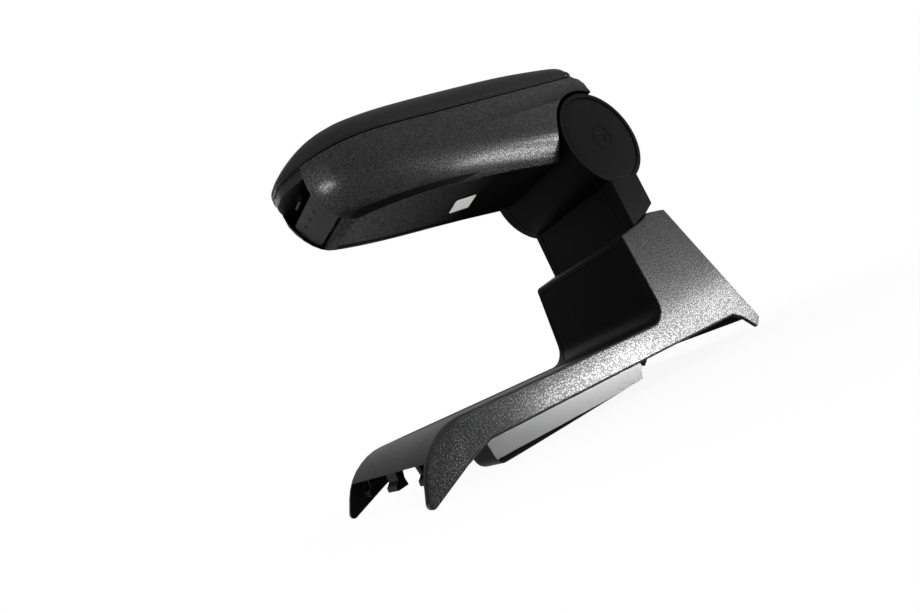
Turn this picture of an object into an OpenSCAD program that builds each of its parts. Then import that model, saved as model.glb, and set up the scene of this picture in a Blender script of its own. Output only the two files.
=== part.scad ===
// Car centre armrest: a padded, opening storage armrest that tilts on a pillar, whose saddle-shaped
// base clips over the rear of a centre console. Millimetres, +Z up, +X to the front of the car.
// The origin is the middle of the four console bolts, level with the lower edge of the side walls.

/* [Hinge] */
// Height of the tilt axis above the foot of the bracket
hinge_z = 202; // [190:1:230]
// Radius of the round hinge housing
barrel_r = 48.8; // [44:0.2:50]
// Thickness of each fixed side of the hinge housing, along the axis
cheek_depth = 10; // [8:0.5:12]
// Wall of the hinge drum and its fixed sides
barrel_wall = 2.8; // [2:0.2:4]
// Radius of the steel tilt axle
axle_r = 8; // [6:0.5:10]
// Wall of the bushes that run on the axle
bush_wall = 2; // [1.5:0.5:4]
// Radial clearance of every shaft in its bore
shaft_fit = 0.05; // [0.02:0.01:0.1]
// Depth of the recess that holds the round end cap
cap_recess = 1.6; // [1:0.1:2.4]
// Width of the raised rim round the end cap
cap_rim = 4.2; // [3:0.2:7]

/* [Armrest] */
// Distance from the tilt axis to the nose of the lid
rest_length = 300; // [280:1:330]
// Overall width of the armrest and of the hinge housing
rest_width = 120; // [110:1:130]
// Height of the lid seam above the tilt axis at the rear
seam_rear = 68; // [64:1:76]
// Height of the lid seam above the tilt axis at the nose
seam_nose = 22; // [14:1:26]
// Depth of the belly below the tilt axis at the rear
belly_depth = 11; // [6:1:16]
// How much deeper the belly is near the nose
belly_fall = 9; // [4:1:12]
// Width of the flat belly at the rear
belly_width = 90; // [80:1:96]
// Width of the flat belly near the nose
belly_nose_width = 55; // [48:1:68]
// Wall of the box shell
shell_wall = 2.8; // [2:0.2:4]
// Height of the bulge of the box sides above the belly
bulge = 34; // [26:1:40]
// Fullness of the bulge, from 1.2 for a straight flank to 3 for a tight roll at its foot
flank_fullness = 2.2; // [1.2:0.1:3]
// Width of the joint line between the sides of the box and its belly
belly_groove = 1.8; // [0.8:0.2:2]
// Width of the rolled edge along each side of the belly
belly_roll = 3; // [2:0.25:5]
// Height of the belly above the rolled edges of the box sides
belly_step = 1.1; // [0.4:0.1:1.4]
// Gap between the hinge housing and the hollow of the box that turns round it
barrel_gap = 3.7; // [2:0.1:5]
// Wall of the storage liner
liner_wall = 2; // [1.4:0.2:3]
// Length of the open nose in front of the storage liner
nose_room = 52; // [44:1:60]

/* [Lid] */
// Thickness of the lid pad at its edge
pad_edge = 19; // [14:1:24]
// Height of the crown of the pad above its edge
pad_crown = 5; // [2:0.5:8]
// Depth of the rigid lid frame between the box walls
frame_depth = 7; // [5:0.5:9]
// Depth of the shadow line under the lid
lid_groove = 1.8; // [0.6:0.2:2.2]
// Radius of the lid hinge knuckles
knuckle_r = 4.3; // [3.5:0.1:5]
// Radius of the lid hinge pin
lid_pin_r = 2; // [1.5:0.1:2.5]

/* [Release lever] */
// Width of the release lever
lever_width = 52; // [40:1:53]
// Thickness of the release lever
lever_wall = 2.6; // [2:0.2:3.4]
// Number of finger dimples in the lever
dimple_count = 5; // [3:1:6]
// Spacing of the finger dimples
dimple_pitch = 12; // [8:0.5:12]
// Radius of the lever's pin
lever_pin_r = 1.5; // [1:0.1:2]

/* [Base cover] */
// Length of the saddle ridge in front of the tilt axis
saddle_front = 297; // [280:1:320]
// Height of the saddle ridge above the foot
ridge_z = 22; // [18:1:28]
// Depth of the front prongs below the foot
prong_depth = 21; // [16:1:26]
// Width of the cover at the ridge
saddle_width = 141.4; // [136:0.2:150]
// How far the rear wall reaches below the foot
rear_hem = 9; // [4:1:12]
// Sideways slope of the cover's walls, per unit of height
wall_draft = 0.076; // [0.04:0.002:0.08]
// Wall of the base cover
cover_wall = 2.8; // [2:0.2:3.6]
// Rounding of the cover's outer edges
edge_round = 2; // [1:0.2:2.2]
// Height of the pillar's front top edge
pillar_front_z = 102; // [92:1:108]
// Height of the pillar's rear top edge
pillar_rear_z = 117; // [108:1:124]
// Distance of the pillar's front face from the tilt axis
pillar_front_x = 47; // [42:1:54]
// Clearance between fixed pieces that fit into each other
seat_gap = 0.2; // [0.1:0.05:0.3]

/* [Neck] */
// Front face of the neck from the tilt axis
neck_front = 20; // [16:1:24]
// Rear face of the neck from the tilt axis
neck_rear = 22; // [18:1:26]
// Wall of the neck mouldings
neck_wall = 2.6; // [2:0.2:3.4]
// Width of the chamfer on the neck's front corners
neck_chamfer = 4.4; // [2:0.2:5]

/* [Console rails] */
// Length of each rail
rail_length = 158; // [120:1:170]
// Distance from the front of the saddle ridge back to the rails
rail_set_back = 42; // [35:1:62]
// Width of each rail at its top
rail_width = 33; // [26:1:36]
// Distance by which the rail's outer wall leans in at its foot
rail_draft = 1; // [0.5:0.25:4]
// Distance from the side of the saddle ridge in to the rail
rail_inset = 9.7; // [8:0.1:14]
// Depth of the rails below the foot
rail_depth = 19; // [12:1:22]
// How much shallower the rails are at their rear end
rail_rise = 6; // [0:0.5:8]
// Wall of the rails
rail_wall = 2.2; // [1.6:0.2:3]

/* [Support bracket] */
// Thickness of the bracket's sheet steel
sheet = 3; // [2:0.25:4]
// Length of the bracket's foot in front of the tilt axis
foot_front = 40; // [38:1:44]
// Length of the bracket's foot behind the tilt axis
foot_rear = 48; // [44:1:50]
// Half width of the bracket's upright arms
arm_half = 15; // [12:0.5:17]
// Spacing of the console bolts along the car
bolt_x = 70; // [60:1:80]
// Spacing of the console bolts across the car
bolt_y = 70; // [60:1:80]
// Radius of each console bolt hole
bolt_hole_r = 3.3; // [2.7:0.1:4.3]

/* [Hidden] */

arc_steps = 7;
half_w = rest_width / 2;
run_gap = 0.4;
drum_half = half_w - cheek_depth - run_gap;
hollow_r = barrel_r + barrel_gap;

// Points of a rounded corner at b between a and c
function corner(a, b, c, r) = r == 0 ? [b] :
    let (
        u = (a - b) / norm(a - b),
        v = (c - b) / norm(c - b),
        half = acos(u * v) / 2,
        middle = b + (u + v) / norm(u + v) * r / sin(half),
        p = b + u * r / tan(half) - middle,
        q = b + v * r / tan(half) - middle,
        start = atan2(p.y, p.x),
        turn = atan2(p.x * q.y - p.y * q.x, p * q)
    )
    [for (i = [0 : arc_steps]) let (a = start + turn * i / arc_steps) middle + r * [cos(a), sin(a)]];

// A closed outline from corners given as [x, y, radius]
function outline(p) = [for (i = [0 : len(p) - 1])
    each corner([p[(i + len(p) - 1) % len(p)].x, p[(i + len(p) - 1) % len(p)].y], [p[i].x, p[i].y],
        [p[(i + 1) % len(p)].x, p[(i + 1) % len(p)].y], p[i][2])];

// The unit normal that points into an anticlockwise outline from the edge a to b
function inward(a, b) = let (d = (b - a) / norm(b - a)) [-d.y, d.x];

// An anticlockwise outline moved inwards by d
function inset(p, d) = [for (i = [0 : len(p) - 1])
    let (
        m = inward(p[(i + len(p) - 1) % len(p)], p[i]),
        n = inward(p[i], p[(i + 1) % len(p)])
    )
    p[i] + d * (m + n) / (1 + m * n)];

// Twice the signed area of a triangle
function area2(a, b, c) = (b.x - a.x) * (c.y - a.y) - (b.y - a.y) * (c.x - a.x);

// Whether corner i of the remaining corners can be cut off as a triangle
function is_ear(p, rest, i) =
    let (n = len(rest), a = rest[(i + n - 1) % n], b = rest[i], c = rest[(i + 1) % n])
    area2(p[a], p[b], p[c]) > 1e-7
    && len([for (j = rest)
        if (j != a && j != b && j != c && area2(p[a], p[b], p[j]) > -1e-9
            && area2(p[b], p[c], p[j]) > -1e-9 && area2(p[c], p[a], p[j]) > -1e-9) 1]) == 0;
function first_ear(p, rest, i) = i >= len(rest) - 1 || is_ear(p, rest, i) ? i : first_ear(p, rest, i + 1);

// An anticlockwise outline cut into triangles
function triangles(p, rest) = len(rest) == 3 ? [rest] :
    let (n = len(rest), i = first_ear(p, rest, 0))
    concat([[rest[(i + n - 1) % n], rest[i], rest[(i + 1) % n]]],
        triangles(p, [for (j = [0 : n - 1]) if (j != i) rest[j]]));

// A solid through rings of points, with ends of given triangles
module capped_loft(rings, cap) {
    n = len(rings[0]);
    last = len(rings) - 1;
    polyhedron(
        points = [for (ring = rings) each ring],
        faces = concat(
            cap,
            [for (k = [0 : last - 1], i = [0 : n - 1])
                each [[k * n + i, (k + 1) * n + i, k * n + (i + 1) % n],
                      [(k + 1) * n + i, (k + 1) * n + (i + 1) % n, k * n + (i + 1) % n]]],
            [for (t = cap) [last * n + t[2], last * n + t[1], last * n + t[0]]]),
        convexity = 8);
}

// A solid through rings of points, one ring after the other
module loft(rings) {
    n = len(rings[0]);
    last = len(rings) - 1;
    polyhedron(
        points = [for (ring = rings) each ring],
        faces = concat(
            [[for (i = [0 : n - 1]) i]],
            [for (k = [0 : last - 1], i = [0 : n - 1])
                each [[k * n + i, (k + 1) * n + i, k * n + (i + 1) % n],
                      [(k + 1) * n + i, (k + 1) * n + (i + 1) % n, k * n + (i + 1) % n]]],
            [[for (i = [n - 1 : -1 : 0]) last * n + i]]),
        convexity = 8);
}

// A side view outline, in x and z, drawn through from y0 to y1
module side(points, y0, y1) {
    translate([0, y1, 0]) rotate([90, 0, 0]) linear_extrude(height = y1 - y0, convexity = 6) polygon(points);
}

// A front view outline, in y and z, drawn through from x0 to x1
module front(points, x0, x1) {
    translate([x0, 0, 0]) rotate([90, 0, 90]) linear_extrude(height = x1 - x0, convexity = 6) polygon(points);
}

// A round bar along the y axis of the part
module bar(r, y0, y1, x = 0, z = 0, fine = 96) {
    translate([x, y1, z]) rotate([90, 0, 0]) cylinder(r = r, h = y1 - y0, $fn = fine);
}

module both_sides() {
    children();
    mirror([0, 1, 0]) children();
}

// Half width of the cover at height z, moved inwards by d
function cover_half(z, d = 0) = saddle_width / 2 + wall_draft * (ridge_z - z) - d;

// The tightest corners stay round on the inside of the wall too
tip_round = cover_wall + 0.4;
cover_outline = outline([
    [-71.5, -12, tip_round],
    [-60, -prong_depth + 1, tip_round],
    [-47, -6, 5],
    [-36, 0, 6],
    [saddle_front - 43, 0, 14],
    [saddle_front - 20, -7.5, 14],
    [saddle_front + 17.5, -prong_depth - 1.5, tip_round],
    [saddle_front + 1, ridge_z, 42],
    [pillar_front_x + 2, ridge_z, 19],
    [pillar_front_x - 1, pillar_front_z + 1, 4],
    [10, pillar_rear_z - 5.5, 30],
    [-6, pillar_rear_z + 1, 12],
    [-30, pillar_rear_z, tip_round]]);

// How far the front prongs bend outwards at x
function prong_flare(x) = 2.6 * pow(max(0, (x - saddle_front + 40) / 57), 2);

// Ring of the cover's side edge: the outline moved in by d, on the slanted wall less back
function cover_ring(s, d, back) = [for (p = inset(cover_outline, d))
    [p.x, s * (cover_half(p.y) - back + (p.y < ridge_z - 8 ? prong_flare(p.x) : 0)), p.y]];

// Trapezoid section of the cover's inside, between heights z0 and z1, d inside the outer wall
function cover_section(z0, z1, d) = [
    [-cover_half(z0, d), z0], [cover_half(z0, d), z0], [cover_half(z1, d), z1], [-cover_half(z1, d), z1]];

module cover_solid() {
    e = edge_round;
    k = e * (1 - cos(45));
    capped_loft([
        cover_ring(-1, e, 0),
        cover_ring(-1, k, k),
        cover_ring(-1, 0, e),
        cover_ring(1, 0, e),
        cover_ring(1, k, k),
        cover_ring(1, e, 0)],
        cover_cap(inset(cover_outline, e), arc_steps + 1));
}

// Triangles of the cover's side wall: the prong apart from the rest; k points to a corner of the outline
function cover_cap(p, k) = concat(
    triangles(p, concat([for (i = [0 : 5 * k - 1]) i], [for (i = [8 * k - 1 : len(p) - 1]) i])),
    triangles(p, [for (i = [5 * k - 1 : 8 * k - 1]) i]));

// Seat of the front panel: seen from the front it is a plate with round corners
panel_half = cover_half(60) - 4.5;
function panel_face(d) = outline([
    [-panel_half + d, ridge_z + 1 + d, 11 - d],
    [panel_half - d, ridge_z + 1 + d, 11 - d],
    [panel_half - d, pillar_front_z - 5 - d, 8 - d],
    [-panel_half + d, pillar_front_z - 5 - d, 8 - d]]);

// A skin of the pillar's front that follows the cover's outline between two depths
module pillar_skin(depth0, depth1, margin) {
    intersection() {
        difference() {
            side(inset(cover_outline, depth0), -80, 80);
            side(inset(cover_outline, depth1), -81, 81);
        }
        front(panel_face(margin), 20, pillar_front_x + 19);
    }
}

panel_sheet = 2;
panel_sunk = 0.5;

module base_cover() {
    neck_half = half_w + seat_gap + 0.1;
    color([0.10, 0.10, 0.11])
    difference() {
        cover_solid();
        // hollow of the pillar and the saddle, open below from the rear wall to the front edge of the skin
        intersection() {
            union() {
                side(inset(cover_outline, cover_wall), -80, 80);
                side([[-90, -40], [saddle_front + 30, -40], [saddle_front + 30, 1], [saddle_front + 3, 5],
                    [saddle_front - 20, 6], [-60, 6], [-66, -rear_hem], [-90, -rear_hem]], -80, 80);
            }
            front(cover_section(-40, pillar_rear_z + 13, cover_wall), -90, saddle_front + 40);
        }
        // shallow tray between the ridges
        front([[-cover_half(ridge_z, 6), ridge_z - 0.8], [cover_half(ridge_z, 6), ridge_z - 0.8],
            [cover_half(ridge_z, 5.4), ridge_z + 1], [-cover_half(ridge_z, 5.4), ridge_z + 1]],
            pillar_front_x + 22, saddle_front - 34);
        // seat and window of the front panel
        pillar_skin(-1, panel_sunk + panel_sheet, -seat_gap);
        pillar_skin(-1, cover_wall + 1, 3.5);
        // collar round the neck
        translate([-neck_rear - 0.3, -neck_half, pillar_front_z - 20])
            cube([neck_rear + neck_front + 0.6, 2 * neck_half, 60]);
    }
}

module pillar_front_panel() {
    color([0.02, 0.02, 0.022]) pillar_skin(panel_sunk, panel_sunk + panel_sheet, 0);
}

rail_top = ridge_z - cover_wall;
rail_front = saddle_front - rail_set_back;
rail_out = saddle_width / 2 - rail_inset;
rail_in = rail_out - rail_width;

module console_rail() {
    x0 = rail_front - rail_length;
    shape = outline([
        [x0, rail_top - seat_gap, 0],
        [x0 - 7, -3, 3],
        [x0 - 2, -rail_depth + rail_rise, 3],
        [rail_front - 6, -rail_depth, 8],
        [rail_front + 2, rail_top - seat_gap, 0]]);
    face = outline([
        [rail_in, rail_top + 2, 0],
        [rail_in + 3, -2, 6],
        [rail_in + 7, -rail_depth, 5],
        [rail_out - rail_draft, -rail_depth, 5],
        [rail_out, rail_top + 2, 0]]);
    color([0.05, 0.05, 0.055])
    difference() {
        intersection() {
            side(shape, rail_in - 8, rail_out + 9);
            front(face, x0 - 30, rail_front + 30);
        }
        intersection() {
            side([[x0 + 3, rail_top + 4], [x0 - 3, -3], [x0 + 1, -rail_depth + rail_rise + rail_wall],
                [rail_front - 10, -rail_depth + rail_wall], [rail_front - 1, rail_top + 4]],
                rail_in - 8, rail_out + 9);
            front([[rail_in + rail_wall, rail_top + 4], [rail_in + 3 + rail_wall, -2],
                [rail_in + 8 + rail_wall, -rail_depth + rail_wall],
                [rail_out - rail_draft - rail_wall, -rail_depth + rail_wall],
                [rail_out - rail_wall, rail_top + 4]], x0 - 30, rail_front + 30);
        }
    }
}

module console_rail_left() {
    console_rail();
}

module console_rail_right() {
    mirror([0, 1, 0]) console_rail();
}

hook_half = 9;
side_hook = 14;
hook_out = saddle_width / 2 - 10.7;

// Hook under the front edge of the skin
module hook(y0, y1, window) {
    under = inset(cover_outline, cover_wall + seat_gap);
    x = saddle_front;
    color([0.04, 0.04, 0.04])
    difference() {
        intersection() {
            side(outline([[x - 11, 20, 0], [x - 6, 4, 2], [x - 5, -2, 1], [x - 6, -7.5, 0.8],
                [x + 3, -8.5, 0.8], [x + 3, -5, 0.8], [x, -2, 1], [x + 1, 20, 0]]), y0, y1);
            side(under, y0 - 1, y1 + 1);
        }
        if (window) {
            translate([x - 20, (y0 + y1) / 2 - 3.5, -4]) cube([30, 7, 8]);
        }
    }
}

module front_hook_centre() {
    hook(-hook_half, hook_half, false);
}

module front_hook_left() {
    hook(hook_out - side_hook, hook_out, true);
}

module front_hook_right() {
    mirror([0, 1, 0]) hook(hook_out - side_hook, hook_out, true);
}

cheek_y = half_w - cheek_depth + 1;

module support_bracket() {
    foot_half = cover_half(sheet, cover_wall + seat_gap);
    cheek = outline([
        [-foot_rear, 0, 0],
        [foot_front, 0, 0],
        [foot_front - 4, 30, 10],
        [arm_half - 1, pillar_front_z - 2, 12],
        [arm_half - 1, hinge_z - 10, 8],
        [0, hinge_z - 2, 0],
        [-arm_half - 1, hinge_z - 10, 8],
        [-arm_half - 1, pillar_front_z - 2, 12],
        [-foot_rear + 4, 30, 10]]);
    color([0.55, 0.56, 0.58])
    difference() {
        union() {
            // foot plate
            translate([-foot_rear, -foot_half, 0]) cube([foot_rear + foot_front, 2 * foot_half, sheet]);
            both_sides() {
                side(cheek, cheek_y, cheek_y + sheet);
                bar(20, cheek_y, cheek_y + sheet, 0, hinge_z);
            }
            // cross ties
            for (z = [pillar_front_z - 12, hinge_z - 72])
                translate([3 - arm_half, -cheek_y - 1, z]) cube([2 * arm_half - 8, 2 * cheek_y + 2, sheet]);
        }
        bar(axle_r + shaft_fit, -half_w, half_w, 0, hinge_z);
        // passage for cables through the ties
        translate([-1, 0, sheet + 1]) cylinder(r = arm_half / 3, h = hinge_z - 60, $fn = 48);
        for (x = [-1, 1], y = [-1, 1])
            translate([x * bolt_x / 2, y * bolt_y / 2, -1])
                cylinder(r = bolt_hole_r, h = sheet + 2, $fn = 48);
    }
}

neck_foot = pillar_front_z - 6;

// Side moulding: fixed end of the round hinge housing, with the outer strip of the neck below it
module neck_side() {
    y0 = half_w - cheek_depth;
    blade = outline([
        [-neck_rear, hinge_z - 20, 0],
        [-neck_rear, pillar_rear_z + 9.5, 1.5],
        [6.5, pillar_rear_z - 6, 1],
        [6.5, neck_foot, 1],
        [neck_front, neck_foot, 0],
        [neck_front, hinge_z - 20, 0]]);
    color([0.035, 0.035, 0.037])
    difference() {
        union() {
            bar(barrel_r, y0, half_w, 0, hinge_z, 128);
            difference() {
                side(blade, y0, half_w);
                // chamfer of the front corner, and of the edge beside the front panel
                translate([neck_front, half_w, 0]) rotate([0, 0, 45])
                    cube([neck_chamfer, neck_chamfer, 800], center = true);
                translate([neck_front, y0, 0]) rotate([0, 0, 45]) cube([1, 1, 800], center = true);
            }
        }
        // inside of the ring and of the strip
        bar(barrel_r - barrel_wall, y0 - 1, half_w - cap_recess - barrel_wall, 0, hinge_z, 128);
        translate([-neck_rear + neck_wall, y0 - 1, neck_foot - 20])
            cube([neck_rear + neck_front - 2 * neck_wall, cheek_depth + 1 - neck_wall, hinge_z - neck_foot]);
        // recess of the end cap
        bar(barrel_r - cap_rim, half_w - cap_recess, half_w + 1, 0, hinge_z, 128);
        bar(9, y0, half_w + 1, 0, hinge_z);
    }
    // bosses that stand off the bracket
    color([0.035, 0.035, 0.037])
    for (p = [[0, hinge_z - 34], [4, 116]])
        bar(3.5, cheek_y + sheet + seat_gap / 2, half_w - neck_wall, p.x, p.y, 32);
}

module neck_side_left() {
    neck_side();
}

module neck_side_right() {
    mirror([0, 1, 0]) neck_side();
}

// Neck panel between the two sides, hollowed at the top under the turning drum, with ribs towards inside
module neck_panel(x0, x1, foot, inside) {
    y1 = half_w - cheek_depth - seat_gap;
    color([0.04, 0.04, 0.042])
    difference() {
        union() {
            translate([x0, -y1, foot]) cube([x1 - x0, 2 * y1, hinge_z - 30 - foot]);
            both_sides() translate([inside > 0 ? x0 : x0 - 6, y1 - 3, foot])
                cube([x1 - x0 + 6, 3, 20]);
        }
        bar(barrel_r + 0.5, -half_w, half_w, 0, hinge_z, 128);
    }
}

module neck_front_panel() {
    neck_panel(neck_front - neck_wall, neck_front - 0.4, neck_foot, -1);
}

module neck_rear_panel() {
    neck_panel(-neck_rear + 0.4, -neck_rear + neck_wall, neck_foot + 6, 1);
}

// Round end cap with concentric rings
module end_cap() {
    r = barrel_r - cap_rim - seat_gap;
    y0 = half_w - cap_recess;
    color([0.03, 0.03, 0.032])
    translate([0, y0, hinge_z]) rotate([-90, 0, 0])
    rotate_extrude($fn = 128) polygon([
        [0, 0], [r, 0], [r, 0.6], [r - 3, 1.1], [14, 1.1], [13, 0.5], [11, 0.5], [10, 1.1], [6, 1.1],
        [5, 0.5], [0, 0.5]]);
}

module end_cap_left() {
    end_cap();
}

module end_cap_right() {
    mirror([0, 1, 0]) end_cap();
}

axle_half = cheek_y + sheet + 1;

module hinge_axle() {
    color([0.6, 0.6, 0.62]) bar(axle_r, -axle_half, axle_half, 0, hinge_z);
}

module axle_nut() {
    color([0.5, 0.5, 0.5])
    difference() {
        bar(axle_r + 5, cheek_y + sheet, cheek_y + sheet + 1.4, 0, hinge_z, 6);
        bar(axle_r + shaft_fit, cheek_y, half_w, 0, hinge_z);
    }
}

module axle_nut_left() {
    axle_nut();
}

module axle_nut_right() {
    mirror([0, 1, 0]) axle_nut();
}

module friction_washer() {
    color([0.3, 0.25, 0.2])
    difference() {
        bar(axle_r + 8, drum_half + 0.3, cheek_y, 0, hinge_z);
        bar(axle_r + shaft_fit, 0, half_w, 0, hinge_z);
    }
}

module friction_washer_left() {
    friction_washer();
}

module friction_washer_right() {
    mirror([0, 1, 0]) friction_washer();
}

// The armrest is laid out in heights above the tilt axis
nose_x = rest_length;
bow_x = nose_x - 42;
bow_r = 29.5;
plan_x = nose_x - 82.5;

// Height of the lid seam
function seam(x) = seam_rear - (seam_rear - seam_nose) * x / nose_x;

// Height of the belly, rounded up at the bow
function belly(x) = x <= bow_x ?
    -belly_depth - belly_fall * pow(max(0, (x - 52) / (bow_x - 52)), 2.2) :
    let (low = belly_depth + belly_fall, u = (x - bow_x) / bow_r)
    -low + 2 * low * (1 - sqrt(max(0, 1 - u * u)));

// Half width at the seam: round nose in plan
function plan(x) = half_w * pow(max(0.0001, 1 - pow(max(0, (x - plan_x) / (nose_x - plan_x)), 2.4)), 0.55);

// Half width of the flat belly
function keel(x) = x <= bow_x ?
    (belly_width - (belly_width - belly_nose_width) * pow(max(0, (x - 150) / (bow_x - 150)), 2.5)) / 2 :
    belly_nose_width / 2 + 5.5 * pow((x - bow_x) / bow_r, 6);

// One cross section of the box, moved in by d, with its top at the seam plus up and n steps in its flanks
function box_ring(x, d, up, n) =
    let (
        top = seam(x) + up,
        low = belly(x) + d,
        w = plan(x) - d,
        k = min(keel(x) - 0.6 * d, w - 0.5),
        mid = low + min(0.82 * (seam(x) - low), bulge, top - low - 1),
        flank = [for (i = [0 : n]) let (t = i / n)
            [k + (w - k) * (1 - pow(1 - t, flank_fullness)), low + (mid - low) * t]]
    )
    concat(
        [for (p = flank) [x, p.x, p.y]],
        [[x, w, top], [x, -w, top]],
        [for (i = [n : -1 : 0]) [x, -flank[i].x, flank[i].y]]);

// Stations along the armrest, closer together where its form bends
function stations(x0, x1) = concat(
    [x0],
    [for (x = [20, 60, 110, 145, 170, 190, 206, 220, 232, 243, 251, 258])
        if (x > x0 + 2 && x < min(x1, bow_x) - 1) x],
    [for (s = [0, 0.2, 0.39, 0.58, 0.74, 0.87, 0.96]) let (x = bow_x + s * bow_r)
        if (x < x1 - 0.5 && x > x0) x],
    [x1]);

module box_form(x0, x1, d, up, n) {
    translate([0, 0, hinge_z]) loft([for (x = stations(x0, x1)) box_ring(x, d, up, n)]);
}

// Step of the belly between the rolled edges, and the joint line along one of them
module belly_strip(y0, y1, depth) {
    function ring(x) = let (k = keel(x) - belly_roll, low = belly(x)) [
        [x, k + y1, low - 2], [x, k + y1, low + depth], [x, y0 == 0 ? -k : k + y0, low + depth],
        [x, y0 == 0 ? -k : k + y0, low - 2]];
    translate([0, 0, hinge_z]) loft([for (x = stations(30, bow_x)) ring(x)]);
}

ear_y0 = 34;
ear_y1 = 42;
pin_x = -1.4;
pin_z = seam(0) + hinge_z + knuckle_r + 0.8;
mouth_half = belly_nose_width / 2 - 0.5;
mouth_x = nose_x - 33;

// Grained box shell, open on top and at the nose
module box_shell() {
    color([0.09, 0.09, 0.10])
    difference() {
        union() {
            difference() {
                box_form(-17, bow_x + bow_r, 0, 0, 9);
                // rear edge rounded down to the hollow
                translate([0, 0, hinge_z]) side([[-30, 48], [-16, 53], [-14, 60], [-9, 65], [-2, 67.2],
                    [-2, 90], [-30, 90]], -70, 70);
                bar(hollow_r, -80, 80, 0, hinge_z, 128);
                difference() {
                    box_form(8, bow_x + bow_r + 4, shell_wall, 6, 6);
                    bar(hollow_r + shell_wall, -81, 81, 0, hinge_z, 128);
                }
                // nose opening for the fingers and the lever
                front([[-mouth_half, hinge_z - 60], [mouth_half, hinge_z - 60], [mouth_half, hinge_z - 1],
                    [mouth_half + 6, hinge_z + seam_nose], [mouth_half + 6, hinge_z + 60],
                    [-mouth_half - 6, hinge_z + 60], [-mouth_half - 6, hinge_z + seam_nose],
                    [-mouth_half, hinge_z - 1]],
                    mouth_x, nose_x + 20);
                belly_strip(0, 0, belly_step);
                both_sides() belly_strip(-belly_groove, 0.1, belly_groove);
            }
            // ears of the lid hinge
            both_sides() {
                bar(knuckle_r, ear_y0, ear_y1, pin_x, pin_z, 48);
                translate([pin_x - knuckle_r + 0.6, ear_y0, pin_z - knuckle_r - 4])
                    cube([2 * knuckle_r - 1.2, ear_y1 - ear_y0, knuckle_r + 4]);
            }
        }
        bar(lid_pin_r + shaft_fit, -50, 50, pin_x, pin_z, 48);
        // seats of the lever pin
        bar(lever_pin_r + shaft_fit, -lever_pin_half - 0.3, lever_pin_half + 0.3, lever_px, lever_pz, 32);
    }
}

// Storage liner, a tub inside the shell
module storage_liner() {
    x0 = 8 + seat_gap;
    x1 = nose_x - nose_room;
    d = shell_wall + seat_gap;
    color([0.13, 0.13, 0.13])
    difference() {
        box_form(x0, x1, d, -frame_depth - 0.6, 6);
        bar(hollow_r + d, -81, 81, 0, hinge_z, 128);
        difference() {
            box_form(x0 + liner_wall, x1 - liner_wall, d + liner_wall, 6, 5);
            bar(hollow_r + d + liner_wall, -82, 82, 0, hinge_z, 128);
        }
    }
}

// Drum of the armrest that turns between the fixed sides
module hinge_drum() {
    hub_r = axle_r + bush_wall;
    color([0.04, 0.04, 0.042])
    difference() {
        union() {
            difference() {
                bar(barrel_r, -drum_half, drum_half, 0, hinge_z, 128);
                bar(barrel_r - barrel_wall, -drum_half + 3, drum_half - 3, 0, hinge_z, 128);
            }
            // pads that carry the box
            intersection() {
                difference() {
                    bar(hollow_r - seat_gap / 2, -drum_half + 4, drum_half - 4, 0, hinge_z, 128);
                    bar(barrel_r - 0.5, -half_w, half_w, 0, hinge_z, 128);
                }
                both_sides() translate([20, 22, hinge_z + 8]) cube([60, 20, 34]);
            }
        }
        bar(hub_r + 0.02, -half_w, half_w, 0, hinge_z);
    }
}

module hinge_bush() {
    color([0.75, 0.62, 0.35])
    difference() {
        bar(axle_r + bush_wall, drum_half - 3.2, drum_half, 0, hinge_z);
        bar(axle_r + shaft_fit, 0, half_w, 0, hinge_z);
    }
}

module hinge_bush_left() {
    hinge_bush();
}

module hinge_bush_right() {
    mirror([0, 1, 0]) hinge_bush();
}

module lid_pin() {
    color([0.6, 0.6, 0.62]) bar(lid_pin_r, -half_w + 5, half_w - 5, pin_x, pin_z, 48);
}

lip = 2.2;
pad_rear = 3.6;
rim_gap = 1.2;

// Cross section of the lid's plate, which shows as a thin lip under the pad
function plate_ring(x) =
    let (w = plan(x) - 0.3, z = seam(x) + run_gap)
    let (g = min(lid_groove, w / 2))
    [[x, w - g, z], [x, w - g, z + 0.7], [x, w, z + 1.1], [x, w, z + lip],
        [x, -w, z + lip], [x, -w, z + 1.1], [x, g - w, z + 0.7], [x, g - w, z]];

// Cross section of the lid's rim, which drops between the walls of the box
function rim_ring(x) =
    let (w = plan(x) - shell_wall - rim_gap, top = seam(x) + run_gap + 0.5, low = seam(x) - frame_depth)
    [[x, w - 1, low], [x, w, low + 1], [x, w, top], [x, -w, top], [x, -w, low + 1], [x, -w + 1, low]];

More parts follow.
